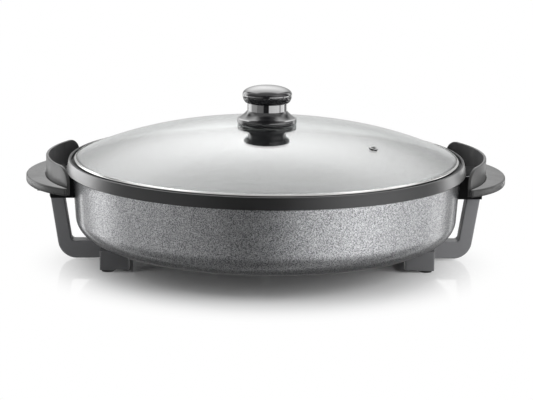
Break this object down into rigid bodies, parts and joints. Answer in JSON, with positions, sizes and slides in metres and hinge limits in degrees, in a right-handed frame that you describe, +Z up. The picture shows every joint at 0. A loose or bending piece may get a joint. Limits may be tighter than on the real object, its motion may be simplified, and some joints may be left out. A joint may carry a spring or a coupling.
{
  "type": "electric skillet",
  "caption": "Round countertop electric skillet: cast pan on foot rails with side handles and a loose domed glass lid with a turned knob.",
  "frame": {"origin": "on the floor plane, under the middle of the pan", "axes": "+Z up, -Y the front, +X from the left handle to the right handle; the inlet is at +Y"},
  "size_m": [0.504, 0.42, 0.1864],
  "materials": {
    "pan_casting": "hammered grey coat outside, satin dark rim, dark non-stick coat inside",
    "black_plastic": "satin, heat-proof",
    "knob_bakelite": "polished",
    "lid_glass": "clear tempered",
    "band_steel": "polished stainless steel",
    "black_steel": "satin black paint",
    "reflector_aluminium": "bright rolled sheet",
    "element_steel": "heat-tinted steel tube",
    "contact_steel": "bright",
    "screw_steel": "zinc plated",
    "insert_brass": "turned",
    "ceramic": "unglazed ceramic",
    "foot_rubber": "matt",
    "seal_silicone": "satin"
  },
  "bodies": {
    "cooker": {"pan_body": "pan_casting", "heating_element": "element_steel", "inlet_pins": "contact_steel", "pin_insulators": "ceramic", "probe_guide": "contact_steel", "earth_clip": "contact_steel", "inlet_shroud": "black_plastic", "inlet_screws": "screw_steel", "heat_reflector": "reflector_aluminium", "bottom_cover": "black_steel", "centre_spacer": "contact_steel", "centre_washer": "screw_steel", "centre_screw": "screw_steel", "left_foot_rail": "black_plastic", "right_foot_rail": "black_plastic", "foot_screws": "screw_steel", "foot_pads": "foot_rubber", "left_side_strap": "black_plastic", "right_side_strap": "black_plastic", "strap_screws": "screw_steel", "head_screws": "screw_steel", "left_mounting_block": "black_plastic", "right_mounting_block": "black_plastic", "block_screws": "screw_steel", "left_guard": "black_plastic", "right_guard": "black_plastic", "left_grip": "black_plastic", "right_grip": "black_plastic", "grip_screws": "screw_steel"},
    "lid": {"lid_glass": "lid_glass", "lid_band": "band_steel", "vent_eyelet": "band_steel", "knob": "knob_bakelite", "knob_insert": "insert_brass", "knob_screw": "screw_steel", "knob_washer": "band_steel", "knob_seal": "seal_silicone"}
  },
  "joints": [
    {"name": "lid_lift", "type": "slide", "parent": "cooker", "child": "lid", "axis": [0, 0, 1], "range_m": [0, 0.12]}
  ]
}
